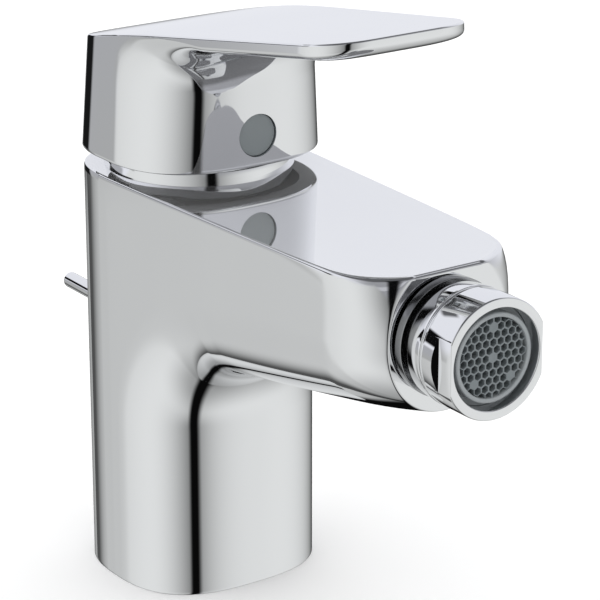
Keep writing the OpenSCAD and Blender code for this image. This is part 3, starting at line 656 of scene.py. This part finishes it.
def makeInsert():
    n = insert
    turnedPiece("aeratorInsert", [(n["bore"], n["back"], 0), (n["flange"], n["back"], 0),
        (n["flange"], n["step"], n["stepEdge"]), (n["wall"], n["step"], n["stepEdge"]),
        (n["wall"], n["front"], n["frontEdge"]), (n["bore"], n["front"], n["boreEdge"])],
        outletAxis, "swivel", insertGrey, ("aerator_insert",))


makeInsert()

plug = {"radius": 4.95, "back": -3.2, "face": -0.6, "edge": 0.35}
turnedPiece("indexPlug", [(0, plug["back"], 0), (plug["radius"], plug["back"], 0),
    (plug["radius"], plug["face"], plug["edge"]), (0, plug["face"], 0)],
    plugAxis, "lever", plugGrey, ("index_plug",))

rod = {"radius": 2.5, "at": 15.5, "foot": 2.0, "footEdge": 0.5, "domeSteps": 12, "steps": 64,
    "pegRadius": 2.0, "pegHeight": 52.3, "pegEnd": 62.6, "pegEdge": 0.5}


def makeRod():
    # upright rod with a domed top and a level peg with a softened end
    d = rod
    dome = arcCorners(d["radius"], d["pegHeight"], math.pi / 2, 0.0, d["domeSteps"])
    stand = lathe(roundedPath([(0, d["foot"], 0), (d["radius"], d["foot"], d["footEdge"])] + dome), d["steps"],
        lambda x, y, along: (x, y + d["at"], along))
    peg = lathe(roundedPath([(0, d["at"], 0), (d["pegRadius"], d["at"], 0),
        (d["pegRadius"], d["pegEnd"], d["pegEdge"]), (0, d["pegEnd"], 0)]), d["steps"],
        lambda x, y, along: (x, along, y + d["pegHeight"]))
    shift = len(stand[0])
    faces = stand[1] + [tuple(i + shift for i in face) for face in peg[1]]
    makePiece("popUpRod", stand[0] + peg[0], faces, "rod", chrome, ("pop_up_rod",), turned["sharp"])


makeRod()
print("turned pieces ready")

# honeycomb of the aerator, one open and one closed cell repeated over the field

comb = {"pitch": 1.9, "wall": 0.34, "back": 108.4, "front": 110.5, "field": 8.62, "reach": 6, "weld": 0.002,
    "sharp": 30, "closed": ((0, 0), (-2, 4), (4, -3), (-1, -3))}


def combTree():
    tree = bpy.data.node_groups.new("honeycomb", "GeometryNodeTree")
    for title, value in (("Pitch", comb["pitch"]), ("Wall", comb["wall"]), ("Depth", comb["front"] - comb["back"]),
            ("Field Radius", comb["field"]), ("Back", comb["back"]), ("Height", body["outlet"])):
        made = tree.interface.new_socket(title, in_out="INPUT", socket_type="NodeSocketFloat")
        made.default_value = value
    tree.interface.new_socket("Geometry", in_out="OUTPUT", socket_type="NodeSocketGeometry")
    add, link, calc = tree.nodes.new, tree.links.new, mathNodes(tree)
    sizes, out = add("NodeGroupInput"), add("NodeGroupOutput")
    pitch = sizes.outputs["Pitch"]

    # rows and columns counted from the middle, rows half a cell apart
    n = 2 * comb["reach"] + 1
    index = add("GeometryNodeInputIndex").outputs[0]
    row = calc("SUBTRACT", calc("FLOOR", calc("DIVIDE", index, n)), comb["reach"])
    column = calc("SUBTRACT", calc("FLOORED_MODULO", index, n), comb["reach"])
    across = calc("MULTIPLY", calc("ADD", column, calc("MULTIPLY", row, 0.5)), pitch)
    up = calc("MULTIPLY", calc("MULTIPLY", row, pitch), math.sin(math.radians(60)))
    far = calc("SQRT", calc("ADD", calc("MULTIPLY", across, across), calc("MULTIPLY", up, up)))
    inField = calc("LESS_THAN", far, sizes.outputs["Field Radius"])
    shut = None
    for i, j in comb["closed"]:
        same = calc("MULTIPLY", calc("COMPARE", column, i), calc("COMPARE", row, j))
        shut = same if shut is None else calc("MAXIMUM", shut, same)

    def spot(**parts):
        node = add("ShaderNodeCombineXYZ")
        for axis, value in parts.items():
            link(value, node.inputs[axis])
        return node.outputs[0]

    def joined(*parts):
        node = add("GeometryNodeJoinGeometry")
        for part in parts:
            link(part, node.inputs[0])
        return node.outputs[0]

    def moved(shape, **settings):
        node = add("GeometryNodeTransform")
        link(shape, node.inputs["Geometry"])
        for title, value in settings.items():
            if isinstance(value, tuple):
                node.inputs[title].default_value = value
            else:
                link(value, node.inputs[title])
        return node.outputs[0]

    def hexagon(width):
        # width is across the flats
        outline = add("GeometryNodeCurvePrimitiveCircle")
        outline.inputs["Resolution"].default_value = 6
        link(calc("DIVIDE", width, math.sqrt(3)), outline.inputs["Radius"])
        return moved(outline.outputs[0], Rotation=(0, 0, math.radians(30)))

    def lifted(outline):
        face = add("GeometryNodeFillCurve")
        push = add("GeometryNodeExtrudeMesh")
        under = add("GeometryNodeFlipFaces")
        push.inputs["Individual"].default_value = False
        offset = add("ShaderNodeCombineXYZ")
        offset.inputs["Z"].default_value = 1.0
        link(outline, face.inputs[0])
        link(face.outputs[0], push.inputs["Mesh"])
        link(offset.outputs[0], push.inputs["Offset"])
        link(sizes.outputs["Depth"], push.inputs["Offset Scale"])
        link(face.outputs[0], under.inputs["Mesh"])
        return joined(push.outputs["Mesh"], under.outputs[0])

    points = add("GeometryNodePoints")
    points.inputs["Count"].default_value = n * n
    link(spot(X=across, Y=up), points.inputs["Position"])

    def repeated(cell, which):
        spread = add("GeometryNodeInstanceOnPoints")
        link(points.outputs[0], spread.inputs["Points"])
        link(cell, spread.inputs["Instance"])
        link(calc("MULTIPLY", inField, which), spread.inputs["Selection"])
        return spread.outputs[0]

    outer = hexagon(pitch)
    inner = hexagon(calc("SUBTRACT", pitch, sizes.outputs["Wall"]))
    openCells = repeated(lifted(joined(outer, inner)), calc("SUBTRACT", 1.0, shut))
    real = add("GeometryNodeRealizeInstances")
    link(joined(openCells, repeated(lifted(outer), shut)), real.inputs[0])
    weld = add("GeometryNodeMergeByDistance")
    weld.inputs["Distance"].default_value = comb["weld"]
    link(real.outputs[0], weld.inputs["Geometry"])
    # forward along the outlet axis, then to metres
    atBack = moved(weld.outputs[0], Translation=spot(Z=sizes.outputs["Back"]))
    placed = moved(atBack, Rotation=(math.pi / 2, 0, 0), Scale=(mm, mm, mm),
        Translation=spot(Z=calc("MULTIPLY", sizes.outputs["Height"], mm)))
    paint = add("GeometryNodeSetMaterial")
    paint.inputs["Material"].default_value = combGrey
    link(placed, paint.inputs["Geometry"])
    link(paint.outputs[0], out.inputs[0])
    return tree


def makeComb():
    piece = linkMesh("aeratorComb", [], [])
    change = piece.modifiers.new("honeycomb", "NODES")
    change.node_group = combTree()
    for item in change.node_group.interface.items_tree:
        if item.in_out == "INPUT":
            change[item.identifier] = item.default_value
    graph = bpy.context.evaluated_depsgraph_get()
    plain = bpy.data.meshes.new_from_object(piece.evaluated_get(graph))
    piece.modifiers.clear()
    piece.data = plain
    tidyMesh(plain, comb["sharp"])
    dressPiece(piece, "swivel", combGrey, ("aerator_screen",))
    return piece


print("honeycomb", len(makeComb().data.polygons))

# camera, floor and surround

view = {"place": (-0.3283, -0.5167, 0.2840), "forward": (0.5350, 0.7747, -0.3370), "lens": 164.2, "sensor": 36,
    "clip": (0.02, 50)}


def makeCamera():
    data = bpy.data.cameras.new("camera")
    data.lens, data.sensor_width = view["lens"], view["sensor"]
    data.clip_start, data.clip_end = view["clip"]
    camera = bpy.data.objects.new("camera", data)
    camera.location = view["place"]
    camera.rotation_mode = "QUATERNION"
    camera.rotation_quaternion = Vector(view["forward"]).to_track_quat("-Z", "Y")
    bpy.context.scene.collection.objects.link(camera)
    bpy.context.scene.camera = camera


makeCamera()

floorHalf = 3.0
paleFloor = finish("paleFloor", (0.97, 0.97, 0.97), (0.955, 0.955, 0.955), 0.0, 0.9, 0.05, 6, 0.0)


def makeFloor():
    mesh = bpy.data.meshes.new("floor")
    corners = boxOutline(-floorHalf, floorHalf, -floorHalf, floorHalf)
    mesh.from_pydata([(x, y, 0) for x, y in corners], [], [(0, 1, 2, 3)])
    floor = bpy.data.objects.new("floor", mesh)
    bpy.context.scene.collection.objects.link(floor)
    floor.data.materials.append(paleFloor)
    floor.visible_glossy = False


makeFloor()

# what the chrome mirrors, painted by direction: two soft half domes, left and right, with a black gap between them
# that runs down the front, under and up the back; an overhead that is white behind, grey in steps in front and dark
# at the zenith; and four cards behind, as (first turn, last turn, low, high, shade); angles in degrees, turn 0 lies
# before the spout
surround = {"leftAt": -96, "leftWides": (0.75, 1.09), "leftPower": 0.82, "rightAt": 46, "rightWides": (1.25, 1.08),
    "rightPower": 0.815, "edgeFrom": -177, "edgeTo": -152, "stepAt": -135, "stepSoft": 5, "stepShade": 0.86,
    "falloff": 0.8, "spread": 0.72, "spreadFrom": -50, "spreadTo": -25, "dim": 0.085,
    "fade": 0.42, "fadeFrom": -85, "fadeTo": -42,
    "gapAt": -17.8, "gapHalf": 0.112, "gapSoftLeft": 0.05, "gapSoftRight": 0.06, "gapBend": 0.3, "gapShade": 0.003,
    "gapTop": 50, "gapTopSoft": 12, "gapBackTop": -11, "gapBackSoft": 3, "gapTurn": 0.1,
    "overheadBack": 0.86, "overheadFront": 0.55, "overheadFrom": 6, "overheadTo": 15, "overheadDip": 12,
    "overheadLow": 0.34, "overheadStep": 17.3, "overheadStepSoft": 0.7, "overheadEnd": 23, "overheadEndSoft": 1.5,
    "raise": 18, "raiseFrom": -125, "raiseTo": -35, "raiseSoft": 12, "frontWide": 80, "frontSoft": 35,
    "zenithFront": (32, 42), "zenithBack": (42, 55), "zenith": 0.12, "backdrop": 1.0, "soft": 1.25,
    "tint": (0.985, 1.0, 0.993), "overheadTint": (0.97, 0.985, 1.045), "cardTurnSoft": 3, "cardLiftSoft": 1.5,
    "cards": ((-168, -118, 2, 17, 0.004), (-184, -160, 33, 42, 0.12), (-176, -137, -16.5, -2, 0.43),
        (-197, -165, -17, 1.5, 0.01))}


def makeSurround():
    world = bpy.data.worlds.new("surround")
    bpy.context.scene.world = world
    world.use_nodes = True
    tree = world.node_tree
    tree.nodes.clear()
    add, link, calc = tree.nodes.new, tree.links.new, mathNodes(tree)
    s = surround

    def times(a, b):
        return calc("MULTIPLY", a, b)

    def less(value):
        return calc("SUBTRACT", 1.0, value)

    def between(a, b, share):
        return calc("MULTIPLY_ADD", calc("SUBTRACT", b, a), share, a)

    def smooth(value, low, high):
        node = add("ShaderNodeMapRange")
        node.interpolation_type = "SMOOTHSTEP"
        link(value, node.inputs["Value"])
        node.inputs["From Min"].default_value = low
        node.inputs["From Max"].default_value = high
        return node.outputs["Result"]

    def step(value, at, soft):
        return smooth(value, at - soft, at + soft)

    def band(value, low, lowSoft, high, highSoft):
        return times(step(value, low, lowSoft), less(step(value, high, highSoft)))

    split = add("ShaderNodeSeparateXYZ")
    link(add("ShaderNodeTexCoord").outputs["Generated"], split.inputs[0])
    side, toward = split.outputs["X"], times(split.outputs["Y"], -1)
    turn = calc("ARCTAN2", side, toward)
    degrees = times(turn, 180 / math.pi)
    lift = times(calc("ARCSINE", split.outputs["Z"]), 180 / math.pi)

    def away(at):
        return calc("WRAP", calc("SUBTRACT", degrees, at), 180, -180)

    # the two half domes
    spread = between(s["spread"], 1.0, smooth(lift, s["spreadFrom"], s["spreadTo"]))

    def panel(at, wides, power):
        off = away(at)
        wide = between(math.radians(wides[0]), math.radians(wides[1]), calc("GREATER_THAN", off, 0.0))
        off = times(times(calc("ABSOLUTE", off), wide), spread)
        bright = calc("MAXIMUM", calc("COSINE", calc("MINIMUM", off, math.pi / 2)), 0.0)
        return times(calc("POWER", bright, s["falloff"]), power)

    left = panel(s["leftAt"], s["leftWides"], s["leftPower"])
    left = times(left, smooth(degrees, s["edgeFrom"], s["edgeTo"]))
    left = times(left, between(s["stepShade"], 1.0, step(degrees, s["stepAt"], s["stepSoft"])))
    right = panel(s["rightAt"], s["rightWides"], s["rightPower"])
    lower = calc("MAXIMUM", calc("MAXIMUM", left, right), s["dim"])
    lower = times(lower, between(s["fade"], 1.0, smooth(lift, s["fadeFrom"], s["fadeTo"])))

    # the overhead, its lower edge dipping behind and raised on the left
    stepped = band(lift, s["overheadStep"], s["overheadStepSoft"], s["overheadEnd"], s["overheadEndSoft"])
    front = between(s["overheadLow"], s["overheadFront"], stepped)
    front = between(front, s["zenith"], smooth(lift, *s["zenithFront"]))
    back = between(s["overheadBack"], s["zenith"], smooth(lift, *s["zenithBack"]))
    inFront = less(step(calc("ABSOLUTE", degrees), s["frontWide"], s["frontSoft"]))
    dip = times(less(calc("COSINE", turn)), s["overheadDip"])
    held = times(band(degrees, s["raiseFrom"], s["raiseSoft"], s["raiseTo"], s["raiseSoft"]), s["raise"])
    above = smooth(calc("SUBTRACT", calc("ADD", lift, dip), held), s["overheadFrom"], s["overheadTo"])
    studio = between(lower, between(back, front, inFront), above)

    # the black gap
    ahead, aside = math.cos(math.radians(s["gapAt"])), math.sin(math.radians(s["gapAt"]))
    along = calc("ADD", times(toward, ahead), times(side, aside))
    across = calc("SUBTRACT", times(side, ahead), times(toward, aside))
    behind = calc("MAXIMUM", times(along, -1), 0.0)
    across = calc("SUBTRACT", across, times(times(behind, behind), s["gapBend"]))
    frontTop = less(step(lift, s["gapTop"], s["gapTopSoft"]))
    backTop = less(step(lift, s["gapBackTop"], s["gapBackSoft"]))
    gap = times(band(across, -s["gapHalf"], s["gapSoftLeft"], s["gapHalf"], s["gapSoftRight"]),
        between(backTop, frontTop, step(along, 0, s["gapTurn"])))
    studio = between(studio, s["gapShade"], gap)

    for first, last, low, high, shade in s["cards"]:
        off = calc("ABSOLUTE", away((first + last) / 2))
        card = times(less(step(off, (last - first) / 2, s["cardTurnSoft"])),
            band(lift, low, s["cardLiftSoft"], high, s["cardLiftSoft"]))
        studio = between(studio, shade, card)

    # mirrors see the studio, the camera a plain backdrop and everything else a soft even light
    rays = add("ShaderNodeLightPath")
    glossy = rays.outputs["Is Glossy Ray"]
    shown = between(between(s["soft"], studio, glossy), s["backdrop"], rays.outputs["Is Camera Ray"])
    paint = add("ShaderNodeCombineColor")
    for title, low, high in zip(("Red", "Green", "Blue"), s["tint"], s["overheadTint"]):
        tinted = between(1.0, between(low, high, above), glossy)
        link(times(shown, tinted), paint.inputs[title])
    glow = add("ShaderNodeBackground")
    link(paint.outputs[0], glow.inputs["Color"])
    link(glow.outputs[0], add("ShaderNodeOutputWorld").inputs["Surface"])


makeSurround()
bpy.context.scene.view_settings.view_transform = "Standard"
print("camera, floor and surround ready")
